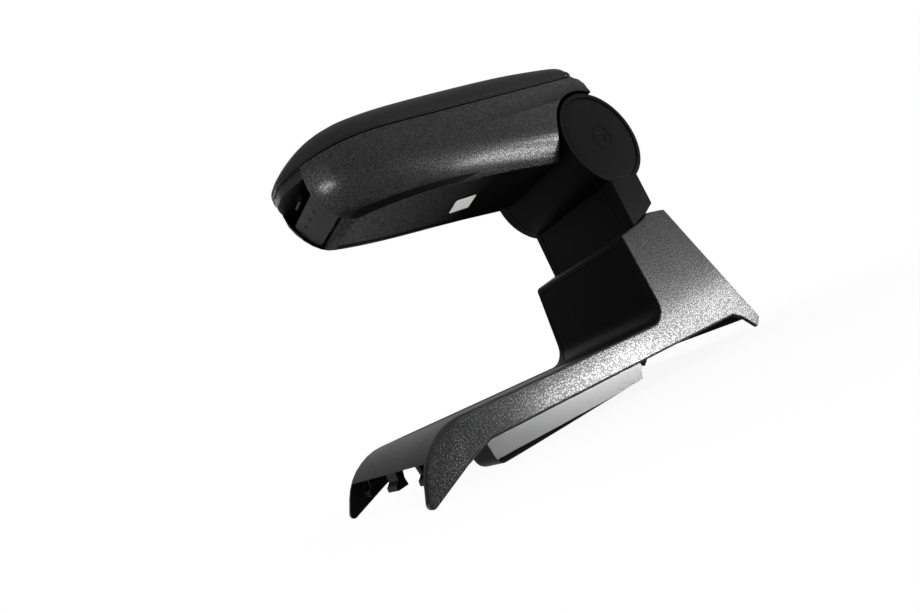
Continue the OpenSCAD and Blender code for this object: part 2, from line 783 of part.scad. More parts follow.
module lid_frame() {
    xs = [60, 150, 200, 225, 245, 260, 272, 281, 288, 293, 296.6];
    pocket = (nose_x - 60) / 4;
    color([0.06, 0.06, 0.06])
    difference() {
        union() {
            difference() {
                translate([0, 0, hinge_z]) {
                    loft([for (x = concat([2], xs, [299.2])) plate_ring(x * nose_x / 300)]);
                    loft([for (x = concat([9], xs, [298.6])) rim_ring(x * nose_x / 300)]);
                }
                // underside hollowed between the rim and cross ribs
                for (k = [0 : 3])
                    let (a = 16 + k * pocket, b = a + pocket - 2.2)
                    translate([0, 0, hinge_z]) side([[a, seam(a) - frame_depth - 2],
                        [b, seam(b) - frame_depth - 2], [b, seam(b)], [a, seam(a)]],
                        -plan(b) + shell_wall + 3.5, plan(b) - shell_wall - 3.5);
            }
            // hinge knuckles and the web to the plate
            bar(knuckle_r, 4 - half_w, half_w - 4, pin_x, pin_z, 48);
            side([[pin_x, pin_z - knuckle_r + 0.1], [6, seam(6) + hinge_z + run_gap],
                [6, seam(6) + hinge_z + lip], [pad_rear - 0.3, seam(pad_rear) + hinge_z + lip],
                [pin_x + 2, pin_z + 1]], 4 - half_w, half_w - 4);
        }
        // room for the ears of the box
        both_sides() translate([-12, ear_y0 - run_gap, pin_z - 20])
            cube([pin_x + knuckle_r + 12.5, ear_y1 - ear_y0 + 2 * run_gap, 40]);
        bar(lid_pin_r + shaft_fit, -half_w, half_w, pin_x, pin_z, 48);
    }
}

// One cross section of the soft pad, with edge thickness h
function pad_ring(x, w, h) =
    let (z = seam(x) + run_gap + lip + 0.1, e = min(8, h * 0.45), crown = pad_crown * min(1, h / pad_edge))
    let (half = [[w - 0.8, z], [w + 0.1, z + 1.2], [w + 0.4, z + h * 0.4], [w - 0.2, z + h - e],
        [w - 0.12 * e - 0.6, z + h - 0.55 * e], [w - 0.42 * e - 0.8, z + h - 0.15 * e], [w - e - 1, z + h],
        [w * 0.66, z + h + crown * 0.6], [w * 0.33, z + h + crown * 0.92]])
    concat([for (p = half) [x, p.x, p.y]], [[x, 0, z + h + crown]],
        [for (i = [len(half) - 1 : -1 : 0]) [x, -half[i].x, half[i].y]]);

module lid_pad() {
    // station, and the share of the edge thickness there
    marks = [[pad_rear, 0.4], [6.5, 0.54], [11, 0.68], [22, 0.78], [46, 0.88], [85, 1], [134, 0.99],
        [167, 0.97], [200, 0.93], [227, 0.87], [252, 0.84], [266, 0.79], [276, 0.71], [283, 0.6],
        [288.5, 0.48], [293, 0.36], [296.5, 0.25], [299, 0.14]];
    color([0.15, 0.15, 0.15]) translate([0, 0, hinge_z])
        loft([for (m = marks) let (x = pad_rear + (m.x - pad_rear) * (nose_x - pad_rear) / (300 - pad_rear))
            pad_ring(x, plan(x), pad_edge * m[1])]);
}

module lid_catch() {
    x = nose_x - 19;
    z = seam(x) - frame_depth;
    color([0.5, 0.5, 0.5]) translate([0, 0, hinge_z])
        side([[x, z - 0.05], [x, z - 6], [x + 4, z - 8], [x + 5, z - 6], [x + 2, z - 5],
            [x + 2, seam(x + 2) - frame_depth - 0.05]], -6, 6);
}

lever_px = nose_x - 34;
lever_pz = hinge_z - 10;
lever_pin_half = belly_nose_width / 2 + 3.7;

// Side view of the lever's outer face: it follows the bow of the box, set back a little
function lever_band(a) = let (low = belly_depth + belly_fall)
    [bow_x + (bow_r - 2) * sin(a), low - (2 * low - 2) * cos(a)];

module release_lever() {
    outer = [for (a = [24 : 6.3 : 68.2]) lever_band(a)];
    inner = [for (a = [68.1 : -6.3 : 23.9]) lever_band(a) + lever_wall * [-sin(a), cos(a)]];
    color([0.07, 0.07, 0.075])
    difference() {
        union() {
            translate([0, 0, hinge_z]) side(concat(outer, inner), -lever_width / 2, lever_width / 2);
            both_sides() bar(lever_pin_r + 2, lever_width / 2 - 6, lever_width / 2, lever_px, lever_pz, 32);
        }
        bar(lever_pin_r + shaft_fit, -80, 80, lever_px, lever_pz, 32);
        // finger dimples
        for (i = [0 : dimple_count - 1])
            let (p = lever_band(55))
            translate([p.x + 1.2, (i - (dimple_count - 1) / 2) * dimple_pitch, hinge_z + p.y - 0.8])
                sphere(r = 2.4, $fn = 24);
    }
}

module lever_pin() {
    color([0.6, 0.6, 0.62]) bar(lever_pin_r, -lever_pin_half, lever_pin_half, lever_px, lever_pz, 32);
}

module lever_spring() {
    color([0.6, 0.6, 0.6])
    difference() {
        bar(lever_pin_r + 1.2, -6, 6, lever_px, lever_pz, 32);
        bar(lever_pin_r + shaft_fit, -10, 10, lever_px, lever_pz, 32);
    }
}

base_cover();
pillar_front_panel();
console_rail_left();
console_rail_right();
front_hook_centre();
front_hook_left();
front_hook_right();
support_bracket();
neck_side_left();
neck_side_right();
neck_front_panel();
neck_rear_panel();
end_cap_left();
end_cap_right();
hinge_axle();
axle_nut_left();
axle_nut_right();
friction_washer_left();
friction_washer_right();
box_shell();
storage_liner();
hinge_drum();
hinge_bush_left();
hinge_bush_right();
lid_pin();
lever_pin();
lid_frame();
lid_pad();
lid_catch();
release_lever();
lever_spring();
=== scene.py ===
import math

import bmesh
import bpy
from bpy.props import FloatProperty, FloatVectorProperty, PointerProperty
from mathutils import Matrix, Vector
from mathutils.bvhtree import BVHTree


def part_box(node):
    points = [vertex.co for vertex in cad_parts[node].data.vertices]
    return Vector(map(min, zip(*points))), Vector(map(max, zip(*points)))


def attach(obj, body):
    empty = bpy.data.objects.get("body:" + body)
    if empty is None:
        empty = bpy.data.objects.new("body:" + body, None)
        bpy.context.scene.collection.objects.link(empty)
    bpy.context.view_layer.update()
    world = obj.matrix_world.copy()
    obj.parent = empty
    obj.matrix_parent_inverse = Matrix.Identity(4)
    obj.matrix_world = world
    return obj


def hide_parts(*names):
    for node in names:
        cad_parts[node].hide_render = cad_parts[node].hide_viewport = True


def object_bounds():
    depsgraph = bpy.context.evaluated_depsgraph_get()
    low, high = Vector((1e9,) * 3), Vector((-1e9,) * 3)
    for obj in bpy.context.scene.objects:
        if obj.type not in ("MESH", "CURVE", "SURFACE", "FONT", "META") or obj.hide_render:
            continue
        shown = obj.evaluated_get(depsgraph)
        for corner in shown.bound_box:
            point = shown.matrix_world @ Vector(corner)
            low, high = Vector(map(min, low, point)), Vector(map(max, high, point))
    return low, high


bl_info = {
    "name": "Centre armrest",
    "version": (1, 0, 0),
    "blender": (4, 5, 0),
    "location": "3D View > Sidebar > Armrest",
    "description": "Finishes a tilting storage armrest: grained covers, satin neck, glossy rails, padded lid, studio",
    "category": "Object",
}

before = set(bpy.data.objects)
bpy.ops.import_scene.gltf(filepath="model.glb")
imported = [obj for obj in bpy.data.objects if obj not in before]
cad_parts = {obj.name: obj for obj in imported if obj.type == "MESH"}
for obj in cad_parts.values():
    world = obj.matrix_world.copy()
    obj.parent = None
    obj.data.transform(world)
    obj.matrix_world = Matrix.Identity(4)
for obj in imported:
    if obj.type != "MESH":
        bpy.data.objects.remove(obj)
CAD_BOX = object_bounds()

# Angles in radians between two faces: below the first they count as one flat face, and above the second their
# edge is sharp and gets a small round
FLAT = 0.008
SHARP = 0.6

# Widths in metres of the small rounds on the mouldings, from the catch to the rails
TINY_ROUND = 0.0002
FINE_ROUND = 0.0003
THIN_ROUND = 0.0004
WALL_ROUND = 0.0005
RAIL_ROUND = 0.001

# A ray that looks for another wall in front of a face starts this far off it and reaches this far, in metres
RAY_START = 0.00005
RAY_REACH = 0.4


# Sizes and colours that a user would change

class ArmrestPlastic(bpy.types.PropertyGroup):
    cover_colour: FloatVectorProperty(
        name="Grained cover", description="Colour of the grained base cover and box",
        subtype="COLOR", size=3, min=0, max=1, default=(0.0075, 0.0075, 0.008))
    satin_colour: FloatVectorProperty(
        name="Satin parts", description="Colour of the neck, hinge housing and end caps",
        subtype="COLOR", size=3, min=0, max=1, default=(0.0025, 0.0025, 0.0028))
    rail_colour: FloatVectorProperty(
        name="Rails", description="Colour of the glossy console rails",
        subtype="COLOR", size=3, min=0, max=1, default=(0.012, 0.012, 0.014))
    grain_size: FloatProperty(
        name="Grain size", description="Distance from one pebble of the grain to the next",
        unit="LENGTH", min=0.0005, max=0.005, default=0.0019)
    grain_depth: FloatProperty(
        name="Grain depth", description="Height of the grain's pebbles above its creases",
        unit="LENGTH", min=0, max=0.001, default=0.0001)
    edge_radius: FloatProperty(
        name="Edge width", description="Width of the small round on the mouldings' edges",
        unit="LENGTH", min=0.0001, max=0.002, default=0.0006)


class ArmrestPad(bpy.types.PropertyGroup):
    skin_colour: FloatVectorProperty(
        name="Skin", description="Colour of the soft skin over the lid's foam",
        subtype="COLOR", size=3, min=0, max=1, default=(0.017, 0.017, 0.018))
    skin_roughness: FloatProperty(
        name="Skin roughness", description="Roughness of the soft skin",
        subtype="FACTOR", min=0.1, max=1, default=0.5)


class ArmrestLabel(bpy.types.PropertyGroup):
    length: FloatProperty(
        name="Label length", description="Length of the blank label under the box",
        unit="LENGTH", min=0.01, max=0.05, default=0.026)
    width: FloatProperty(
        name="Label width", description="Width of the blank label under the box",
        unit="LENGTH", min=0.01, max=0.05, default=0.021)


class ArmrestStudio(bpy.types.PropertyGroup):
    key_power: FloatProperty(
        name="Key light", description="Power of the light in front of the left side, which three small ones follow",
        unit="POWER", min=0, max=200, default=4)
    top_power: FloatProperty(
        name="Top light", description="Power of the soft light overhead",
        unit="POWER", min=0, max=200, default=4)
    fill_power: FloatProperty(
        name="Fill light", description="Power of the weak front light, which the right and rear ones follow",
        unit="POWER", min=0, max=200, default=1.6)
    floor_colour: FloatVectorProperty(
        name="Floor", description="Colour of the plain floor",
        subtype="COLOR", size=3, min=0, max=1, default=(0.86, 0.86, 0.86))


def plastic():
    return bpy.context.scene.armrest_plastic


def pad():
    return bpy.context.scene.armrest_pad


def label():
    return bpy.context.scene.armrest_label


def studio():
    return bpy.context.scene.armrest_studio


# Node groups shared by the finishes

def node(tree, kind, **values):
    """A node with its properties, and its inputs by name"""
    made = tree.nodes.new(kind)
    for key, value in values.items():
        if hasattr(made, key):
            setattr(made, key, value)
        else:
            made.inputs[key.replace("_", " ")].default_value = value
    return made


def socket(group, way, kind, name, default=None):
    """A named input or output of a node group"""
    made = group.interface.new_socket(name=name, in_out=way, socket_type=kind)
    if default is not None:
        made.default_value = default


def math_node(tree, operation, first, second):
    """The result of an operation on two sockets or numbers"""
    made = tree.nodes.new("ShaderNodeMath")
    made.operation = operation
    for place, value in enumerate((first, second)):
        if isinstance(value, (int, float)):
            made.inputs[place].default_value = value
        else:
            tree.links.new(value, made.inputs[place])
    return made.outputs[0]


def map_range(tree, value, low, high, to_low, to_high):
    """A socket's value, mapped from one range to another and held inside it"""
    made = tree.nodes.new("ShaderNodeMapRange")
    tree.links.new(value, made.inputs["Value"])
    made.inputs["From Min"].default_value = low
    made.inputs["From Max"].default_value = high
    made.inputs["To Min"].default_value = to_low
    made.inputs["To Max"].default_value = to_high
    return made.outputs["Result"]


def grain_group():
    """Pebbled grain of moulded plastic: rounded cells with creases between them, and fine tooth on top"""
    # scale of the wobble and of the tooth as shares of the cells' scale, and how far the wobble shifts them
    wobble_scale, tooth_scale, wobble_reach = 0.45, 3.2, 0.0012
    # width and depth of a crease, and the share of the coat that is left at the bottom of it
    crease_width, crease_depth, dullest = 0.16, 0.45, 0.32
    found = bpy.data.node_groups.get("pebbled grain")
    if found:
        return found
    group = bpy.data.node_groups.new("pebbled grain", "ShaderNodeTree")
    socket(group, "INPUT", "NodeSocketVector", "Vector")
    socket(group, "INPUT", "NodeSocketFloat", "Cells per metre", 600.0)
    socket(group, "INPUT", "NodeSocketFloat", "Tooth", 0.25)
    socket(group, "OUTPUT", "NodeSocketFloat", "Height")
    socket(group, "OUTPUT", "NodeSocketFloat", "Crease")
    socket(group, "OUTPUT", "NodeSocketFloat", "Gloss")
    inputs = group.nodes.new("NodeGroupInput")
    outputs = group.nodes.new("NodeGroupOutput")
    link = group.links.new
    wobble = node(group, "ShaderNodeTexNoise", Detail=2.0)
    link(inputs.outputs["Vector"], wobble.inputs["Vector"])
    link(math_node(group, "MULTIPLY", inputs.outputs["Cells per metre"], wobble_scale), wobble.inputs["Scale"])
    shift = group.nodes.new("ShaderNodeVectorMath")
    shift.operation = "MULTIPLY_ADD"
    link(wobble.outputs["Color"], shift.inputs[0])
    shift.inputs[1].default_value = (wobble_reach,) * 3
    link(inputs.outputs["Vector"], shift.inputs[2])
    cells = node(group, "ShaderNodeTexVoronoi", feature="SMOOTH_F1")
    cells.inputs["Smoothness"].default_value = 0.35
    link(shift.outputs[0], cells.inputs["Vector"])
    link(inputs.outputs["Cells per metre"], cells.inputs["Scale"])
    edges = node(group, "ShaderNodeTexVoronoi", feature="DISTANCE_TO_EDGE")
    link(shift.outputs[0], edges.inputs["Vector"])
    link(inputs.outputs["Cells per metre"], edges.inputs["Scale"])
    tooth = node(group, "ShaderNodeTexNoise", Detail=3.0)
    link(inputs.outputs["Vector"], tooth.inputs["Vector"])
    link(math_node(group, "MULTIPLY", inputs.outputs["Cells per metre"], tooth_scale), tooth.inputs["Scale"])
    dome = map_range(group, cells.outputs["Distance"], 0.1, 0.75, 1.0, 0.0)
    crease = map_range(group, edges.outputs["Distance"], 0.0, crease_width, 1.0, 0.0)
    rough = math_node(group, "MULTIPLY", tooth.outputs["Fac"], inputs.outputs["Tooth"])
    raised = math_node(group, "SUBTRACT", dome, math_node(group, "MULTIPLY", crease, crease_depth))
    height = math_node(group, "ADD", raised, rough)
    link(height, outputs.inputs["Height"])
    link(crease, outputs.inputs["Crease"])
    link(map_range(group, height, 0.3, 0.9, dullest, 1.0), outputs.inputs["Gloss"])
    return group


def handling_group():
    """Slight unevenness from moulding and handling: broad patches and faint rubs that lie along them"""
    found = bpy.data.node_groups.get("handling marks")
    if found:
        return found
    group = bpy.data.node_groups.new("handling marks", "ShaderNodeTree")
    socket(group, "INPUT", "NodeSocketVector", "Vector")
    socket(group, "INPUT", "NodeSocketFloat", "Patches per metre", 14.0)
    socket(group, "INPUT", "NodeSocketFloat", "Rubs", 0.5)
    socket(group, "OUTPUT", "NodeSocketFloat", "Patch")
    socket(group, "OUTPUT", "NodeSocketFloat", "Rub")
    inputs = group.nodes.new("NodeGroupInput")
    outputs = group.nodes.new("NodeGroupOutput")
    link = group.links.new
    broad = node(group, "ShaderNodeTexNoise", Detail=3.0, Roughness=0.55)
    link(inputs.outputs["Vector"], broad.inputs["Vector"])
    link(inputs.outputs["Patches per metre"], broad.inputs["Scale"])
    link(map_range(group, broad.outputs["Fac"], 0.35, 0.65, 0.0, 1.0), outputs.inputs["Patch"])
    # slanted streaks, fourteen times as long as they are wide
    along = node(group, "ShaderNodeMapping")
    along.inputs["Rotation"].default_value = (0.3, 0.2, 0.5)
    along.inputs["Scale"].default_value = (30, 420, 420)
    link(inputs.outputs["Vector"], along.inputs["Vector"])
    streak = node(group, "ShaderNodeTexNoise", Scale=1.0, Detail=2.0)
    link(along.outputs["Vector"], streak.inputs["Vector"])
    line = map_range(group, streak.outputs["Fac"], 0.66, 0.72, 0.0, 1.0)
    held = math_node(group, "MULTIPLY", line, map_range(group, broad.outputs["Fac"], 0.5, 0.62, 0.0, 1.0))
    link(math_node(group, "MULTIPLY", held, inputs.outputs["Rubs"]), outputs.inputs["Rub"])
    return group


def placed_group(tree, group, vector, **values):
    """A node group in a material's tree, with its inputs by name"""
    made = tree.nodes.new("ShaderNodeGroup")
    made.node_tree = group
    made.label = group.name
    tree.links.new(vector, made.inputs["Vector"])
    for key, value in values.items():
        made.inputs[key.replace("_", " ")].default_value = value
    return made


def scaled(colour, factor):
    return tuple(min(1.0, c * factor) for c in colour)


def tint(colour, factor):
    """A scaled colour with its alpha"""
    return scaled(colour, factor) + (1.0,)


def mix_colours(tree, factor, first, second):
    """The mix of two colours, each a socket or a value"""
    made = tree.nodes.new("ShaderNodeMix")
    made.data_type = "RGBA"
    tree.links.new(factor, made.inputs["Factor"])
    for name, colour in (("A", first), ("B", second)):
        if isinstance(colour, tuple):
            made.inputs[name].default_value = colour
        else:
            tree.links.new(colour, made.inputs[name])
    return made.outputs["Result"]


def finish(name, colour, roughness, spread=0.06, specular=0.5, cells=0.0, depth=0.0, tooth=0.25,
           patches=14.0, rubs=0.4, metal=0.0, coat=0.0, smear=0.25, worn=1.6, undercut_shade=False, painted_shade_along=None):
    """A procedural finish whose colour and roughness vary in patches and rubs, over an optional grain whose creases
    get painted shade

    spread is how far the roughness varies; cells (per metre), depth and tooth make the grain; coat and smear are
    the clear coat's weight and roughness; worn scales the colour of the rubs. An undercut finish paints shade where
    the mesh's attribute of that name says so, and painted_shade_along gives the two x between which the coat grows,
    so that the finish is darker before the first x as painted shade.
    """
    made = bpy.data.materials.get(name)
    if made:
        return made
    # how much the patches darken and lighten the colour
    dark_patch, pale_patch = 0.88, 1.14
    # how far a crease is darkened as painted shade, the tint of that shade, and how much rougher the crease is
    crease_shade_share, crease_shade_tint, crease_rough = 0.7, 0.35, 0.12
    made = bpy.data.materials.new(name)
    made.use_nodes = True
    made.diffuse_color = tint(colour, 1.0)
    tree = made.node_tree
    link = tree.links.new
    shader = tree.nodes["Principled BSDF"]
    shader.inputs["Metallic"].default_value = metal
    shader.inputs["Specular IOR Level"].default_value = specular
    shader.inputs["Coat Weight"].default_value = 0 if depth else coat
    shader.inputs["Coat Roughness"].default_value = smear
    place = tree.nodes.new("ShaderNodeTexCoord").outputs["Object"]
    marks = placed_group(tree, handling_group(), place, Patches_per_metre=patches, Rubs=rubs)
    paint = mix_colours(tree, marks.outputs["Patch"], tint(colour, dark_patch), tint(colour, pale_patch))
    shine = map_range(tree, marks.outputs["Patch"], 0.0, 1.0, roughness - spread / 2, roughness + spread / 2)
    if depth:
        grain = placed_group(tree, grain_group(), place, Cells_per_metre=cells, Tooth=tooth)
        bump = tree.nodes.new("ShaderNodeBump")
        bump.inputs["Strength"].default_value = 1.0
        bump.inputs["Distance"].default_value = depth
        link(grain.outputs["Height"], bump.inputs["Height"])
        link(bump.outputs["Normal"], shader.inputs["Normal"])
        # painted shade at the rolled edge: where the mesh's attribute says so, the coat goes and the colour darkens
        if undercut_shade:
            edge = node(tree, "ShaderNodeAttribute", attribute_name="undercut_shade").outputs["Fac"]
        if coat:
            coat_share = math_node(tree, "MULTIPLY", grain.outputs["Gloss"], coat)
            if undercut_shade:
                coat_share = math_node(tree, "MULTIPLY", coat_share, math_node(tree, "SUBTRACT", 1.0, edge))
            # painted shade: the coat grows along x, so the finish is darker before the first x
            if painted_shade_along:
                along = node(tree, "ShaderNodeSeparateXYZ")
                link(place, along.inputs[0])
                coat_share = math_node(tree, "MULTIPLY", coat_share,
                                   map_range(tree, along.outputs["X"], *painted_shade_along, 0.0, 1.0))
            link(coat_share, shader.inputs["Coat Weight"])
        dulled = math_node(tree, "MULTIPLY", grain.outputs["Crease"], crease_rough)
        shine = math_node(tree, "ADD", shine, dulled)
        # painted shade: the creases are darkened in colour, and so is the rolled edge where the mesh says so
        shade = math_node(tree, "MULTIPLY", grain.outputs["Crease"], crease_shade_share)
        if undercut_shade:
            shade = math_node(tree, "MAXIMUM", shade, edge)
        paint = mix_colours(tree, shade, paint, tint(colour, crease_shade_tint))
    link(mix_colours(tree, marks.outputs["Rub"], paint, tint(colour, worn)), shader.inputs["Base Color"])
    link(shine, shader.inputs["Roughness"])
    return made


def cover_grain():
    p = plastic()
    # painted shade in the grain's creases and, where the box's mesh says so, at its rolled lower edge
    return finish("cover grain", p.cover_colour, 0.3, spread=0.05, specular=0.1, cells=1 / p.grain_size,
                  depth=p.grain_depth, tooth=0.35, coat=0.55, smear=0.2, undercut_shade=True)


def belly_grain():
    p = plastic()
    # painted shade: the belly is the cover's grain at 0.6 of its colour with no specular, and its coat grows from x
    # 0.12 to 0.3, so it is darker under the box and towards the hinge; its finer, shallower grain is its own
    return finish("belly grain", scaled(p.cover_colour, 0.6), 0.46, specular=0.0, cells=1.3 / p.grain_size,
                  depth=p.grain_depth * 0.5, tooth=0.4, coat=0.52, smear=0.3, painted_shade_along=(0.12, 0.3))


def skin_plastic():
    return finish("smooth skin plastic", scaled(plastic().cover_colour, 2.2), 0.42, spread=0.08, specular=0.03,
                  cells=1500.0, depth=0.00003, tooth=0.6)


def inner_and_shade_plastic():
    # a darker satin, partly the smooth inner side of a moulding and partly painted shade: it goes to faces that look
    # at another wall, to undersides, to the surround of the front panel, to the rim under the lid and to the rolled
    # edge under the flank
    return finish("inner face and painted shade plastic", plastic().satin_colour, 0.5, spread=0.1, specular=0.04,
                  cells=900.0, depth=0.00004, tooth=0.6)


def satin_plastic():
    return finish("satin plastic", plastic().satin_colour, 0.3, spread=0.05, specular=0.03,
                  cells=2600.0, depth=0.00002, tooth=0.8, worn=2.2)


def panel_plastic():
    return finish("smooth panel plastic", plastic().satin_colour, 0.3, spread=0.05, specular=0.025,
                  cells=3000.0, depth=0.00001, tooth=0.8)


def rail_plastic():
    return finish("rail gloss plastic", plastic().rail_colour, 0.3, spread=0.04, specular=0.8, coat=0.9, smear=0.3)


def frame_plastic():
    return finish("lid frame plastic", plastic().satin_colour, 0.36, specular=0.16,
                  cells=2200.0, depth=0.00003, tooth=0.8)


def liner_plastic():
    return finish("liner plastic", (0.012, 0.012, 0.012), 0.6, spread=0.08, specular=0.3,
                  cells=1100.0, depth=0.00006, tooth=0.6)


def steel():
    return finish("zinc plated steel", (0.5, 0.5, 0.52), 0.34, spread=0.12, rubs=0.8, metal=1.0, worn=0.7)


def black_steel():
    return finish("black coated steel", (0.02, 0.02, 0.021), 0.42, spread=0.08, specular=0.45,
                  cells=1800.0, depth=0.00004, tooth=0.6)


def brass():
    return finish("bush brass", (0.6, 0.44, 0.2), 0.34, spread=0.1, metal=1.0, worn=0.75)


def pad_skin():
    s = pad()
    return finish("soft pad skin", s.skin_colour, s.skin_roughness, specular=0.07,
                  cells=2000.0, depth=0.00003, tooth=0.7, patches=9.0)


def label_paper():
    return finish("blank label", (0.82, 0.82, 0.8), 0.45, specular=0.4,
                  cells=900.0, depth=0.00002, tooth=0.5, worn=0.92)


# Pieces

def merged_copy(name):
    """A bmesh of a CAD node, with its coincident corners merged and its slivers removed"""
    shape = bmesh.new()
    shape.from_mesh(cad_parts[name].data)
    bmesh.ops.remove_doubles(shape, verts=shape.verts, dist=2e-6)
    bmesh.ops.dissolve_degenerate(shape, dist=1e-6, edges=shape.edges)
    return shape


def new_object(shape, name, materials):
    """An object from a bmesh, which it uses up"""
    mesh = bpy.data.meshes.new(name)
    shape.to_mesh(mesh)
    shape.free()
    for material in materials:
        mesh.materials.append(material)
    made = bpy.data.objects.new(name, mesh)
    bpy.context.scene.collection.objects.link(made)
    return made


def new_piece(shape, name, body, replaced, materials):
    """A piece that rides on a body, and stands for a CAD node if it replaces one"""
    piece = new_object(shape, name, materials)
    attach(piece, body)
    if replaced:
        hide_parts(replaced)
    return piece


def smooth_edges(shape, angle):
    """Every face shaded smooth, with edges sharper than the angle kept sharp"""
    for face in shape.faces:
        face.smooth = True
    for edge in shape.edges:
        edge.smooth = len(edge.link_faces) != 2 or edge.calc_face_angle(0) < angle


def soften(piece, width):
    """Small rounds on the sharp edges of a piece, and even shading over its faces"""
    rounding = piece.modifiers.new("small round", "BEVEL")
    rounding.width = width
    rounding.segments = 2
    rounding.limit_method = "ANGLE"
    rounding.angle_limit = SHARP
    rounding.use_clamp_overlap = True
    rounding.harden_normals = False
    even = piece.modifiers.new("even shading", "WEIGHTED_NORMAL")
    even.keep_sharp = True


def moulding(source, name, body, materials, width=None, choose=None):
    """A CAD moulding with small rounds on its edges, in one or more finishes, which choose gives to its faces"""
    shape = merged_copy(source)
    bmesh.ops.dissolve_limit(shape, angle_limit=FLAT, verts=shape.verts, edges=shape.edges)
    if choose:
        choose(shape)
    smooth_edges(shape, SHARP)
    piece = new_piece(shape, name, body, source, materials)
    soften(piece, width or plastic().edge_radius)


def faces_a_wall(tree, face):
    """Whether a face looks at another wall of its own piece"""
    n = face.normal
    return tree.ray_cast(face.calc_center_median() + n * RAY_START, n, RAY_REACH)[0] is not None


def cover_faces(shape):
    """The cover's inside, its undersides and its surround of the front panel get the second finish, darker as painted
    shade; its ridge gets the third
    """
    tree = BVHTree.FromBMesh(shape)
    shape.normal_update()
    # components of a normal beyond which a face looks down, up or to the front
    down, up, front = -0.6, 0.8, 0.3
    panel_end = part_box("pillar_front_panel")[1].x + 0.02
    for face in shape.faces:
        n = face.normal
        surround = n.x > front and face.calc_center_median().x < panel_end
        if faces_a_wall(tree, face) or n.z < down or surround:
            face.material_index = 1
        else:
            face.material_index = 2 if n.z > up or min(n.x, n.z) > front else 0


class ARMREST_OT_base_cover(bpy.types.Operator):
    """Saddle and pillar cover with its smooth front panel"""
    bl_idname = "armrest.base_cover"
    bl_label = "Base cover"

    def execute(self, context):
        moulding("base_cover", "cover_moulding", "base", [cover_grain(), inner_and_shade_plastic(), skin_plastic()],
                 WALL_ROUND, cover_faces)
        moulding("pillar_front_panel", "front_panel", "base", [panel_plastic()])
        for side in ("left", "right", "centre"):
            moulding(f"front_hook_{side}", f"hook_{side}", "base", [satin_plastic()], FINE_ROUND)
        return {"FINISHED"}


def rail_faces(shape):
    """The rail's underside and front end get the darker, less glossy satin finish, as painted shade"""
    down, front = -0.1, 0.3
    shape.normal_update()
    for face in shape.faces:
        face.material_index = 1 if face.normal.z < down or face.normal.x > front else 0


class ARMREST_OT_rails(bpy.types.Operator):
    """Glossy rails that rest on the console"""
    bl_idname = "armrest.rails"
    bl_label = "Console rails"

    def execute(self, context):
        for side in ("left", "right"):
            moulding(f"console_rail_{side}", f"rail_{side}", "base", [rail_plastic(), satin_plastic()],
                     RAIL_ROUND, rail_faces)
        return {"FINISHED"}


class ARMREST_OT_neck(bpy.types.Operator):
    """Neck mouldings, hinge housing and round end caps"""
    bl_idname = "armrest.neck"
    bl_label = "Neck and hinge housing"

    def execute(self, context):
        satin = [satin_plastic()]
        for side in ("left", "right"):
            moulding(f"neck_side_{side}", f"neck_moulding_{side}", "base", satin)
            moulding(f"end_cap_{side}", f"cap_disc_{side}", "base", satin, FINE_ROUND)
        for side in ("front", "rear"):
            moulding(f"neck_{side}_panel", f"neck_plate_{side}", "base", satin, FINE_ROUND)
        moulding("hinge_drum", "drum_moulding", "armrest", satin, THIN_ROUND)
        return {"FINISHED"}


def belly_faces(shape):
    """The flanks of the box get the first finish, its belly the second, its inside, the rim under the lid and the
    rolled edge under the flank the third

    A mesh attribute paints shade on the flank at its rolled lower edge, and the small rolled faces beside that edge
    get the darker third finish, also as painted shade.
    """
    belly_slope = -0.85    # normal z below which a face belongs to the belly
    roll_slope = -0.3      # normal z below which a face beside it belongs to the rolled edge that gets painted shade
    wall_slope = 0.3       # normal z above which a face is no part of the flank
    rim_slope = 0.6        # normal z above which a face belongs to the rim under the lid
    roll_height = 0.006    # height in metres of the rolled edge, over which the painted shade fades
    shaded_roll_area = 0.0001    # largest face, in square metres, of the rolled edge that gets painted shade
    nose_slope = 0.15      # normal x at which that painted shade ends towards the nose
    tree = BVHTree.FromBMesh(shape)
    shape.normal_update()
    # painted shade: a mesh attribute that darkens the flank at its rolled lower edge, full at the edge between flank
    # and belly and 0.75 at the corners just above it
    edge_shade = shape.verts.layers.float.new("undercut_shade")
    for edge in shape.edges:
        slopes = sorted(face.normal.z for face in edge.link_faces)
        if len(slopes) == 2 and slopes[0] < belly_slope < slopes[1] < wall_slope:
            for corner in edge.verts:
                corner[edge_shade] = 1.0
    for corner in [corner for corner in shape.verts if corner[edge_shade] == 1.0]:
        for edge in corner.link_edges:
            beside = edge.other_vert(corner)
            if beside[edge_shade] == 0 and edge.calc_length() < roll_height and beside.co.z > corner.co.z:
                beside[edge_shade] = 0.75
    for face in shape.faces:
        n = face.normal
        # painted shade: small rolled faces beside that dark edge get the darker third finish
        beside_edge = face.calc_area() < shaded_roll_area and any(corner[edge_shade] == 1.0 for corner in face.verts)
        shaded_roll = beside_edge and n.z < roll_slope and n.x < nose_slope
        if shaded_roll or faces_a_wall(tree, face) or n.z > rim_slope:
            face.material_index = 2
        else:
            face.material_index = 1 if n.z < belly_slope else 0


class ARMREST_OT_box(bpy.types.Operator):
    """Grained box of the armrest with its storage liner"""
    bl_idname = "armrest.box"
    bl_label = "Armrest box"

    def execute(self, context):
        moulding("box_shell", "box_moulding", "armrest", [cover_grain(), belly_grain(), inner_and_shade_plastic()],
                 WALL_ROUND, belly_faces)
        moulding("storage_liner", "liner_tub", "armrest", [liner_plastic()], THIN_ROUND)
        return {"FINISHED"}


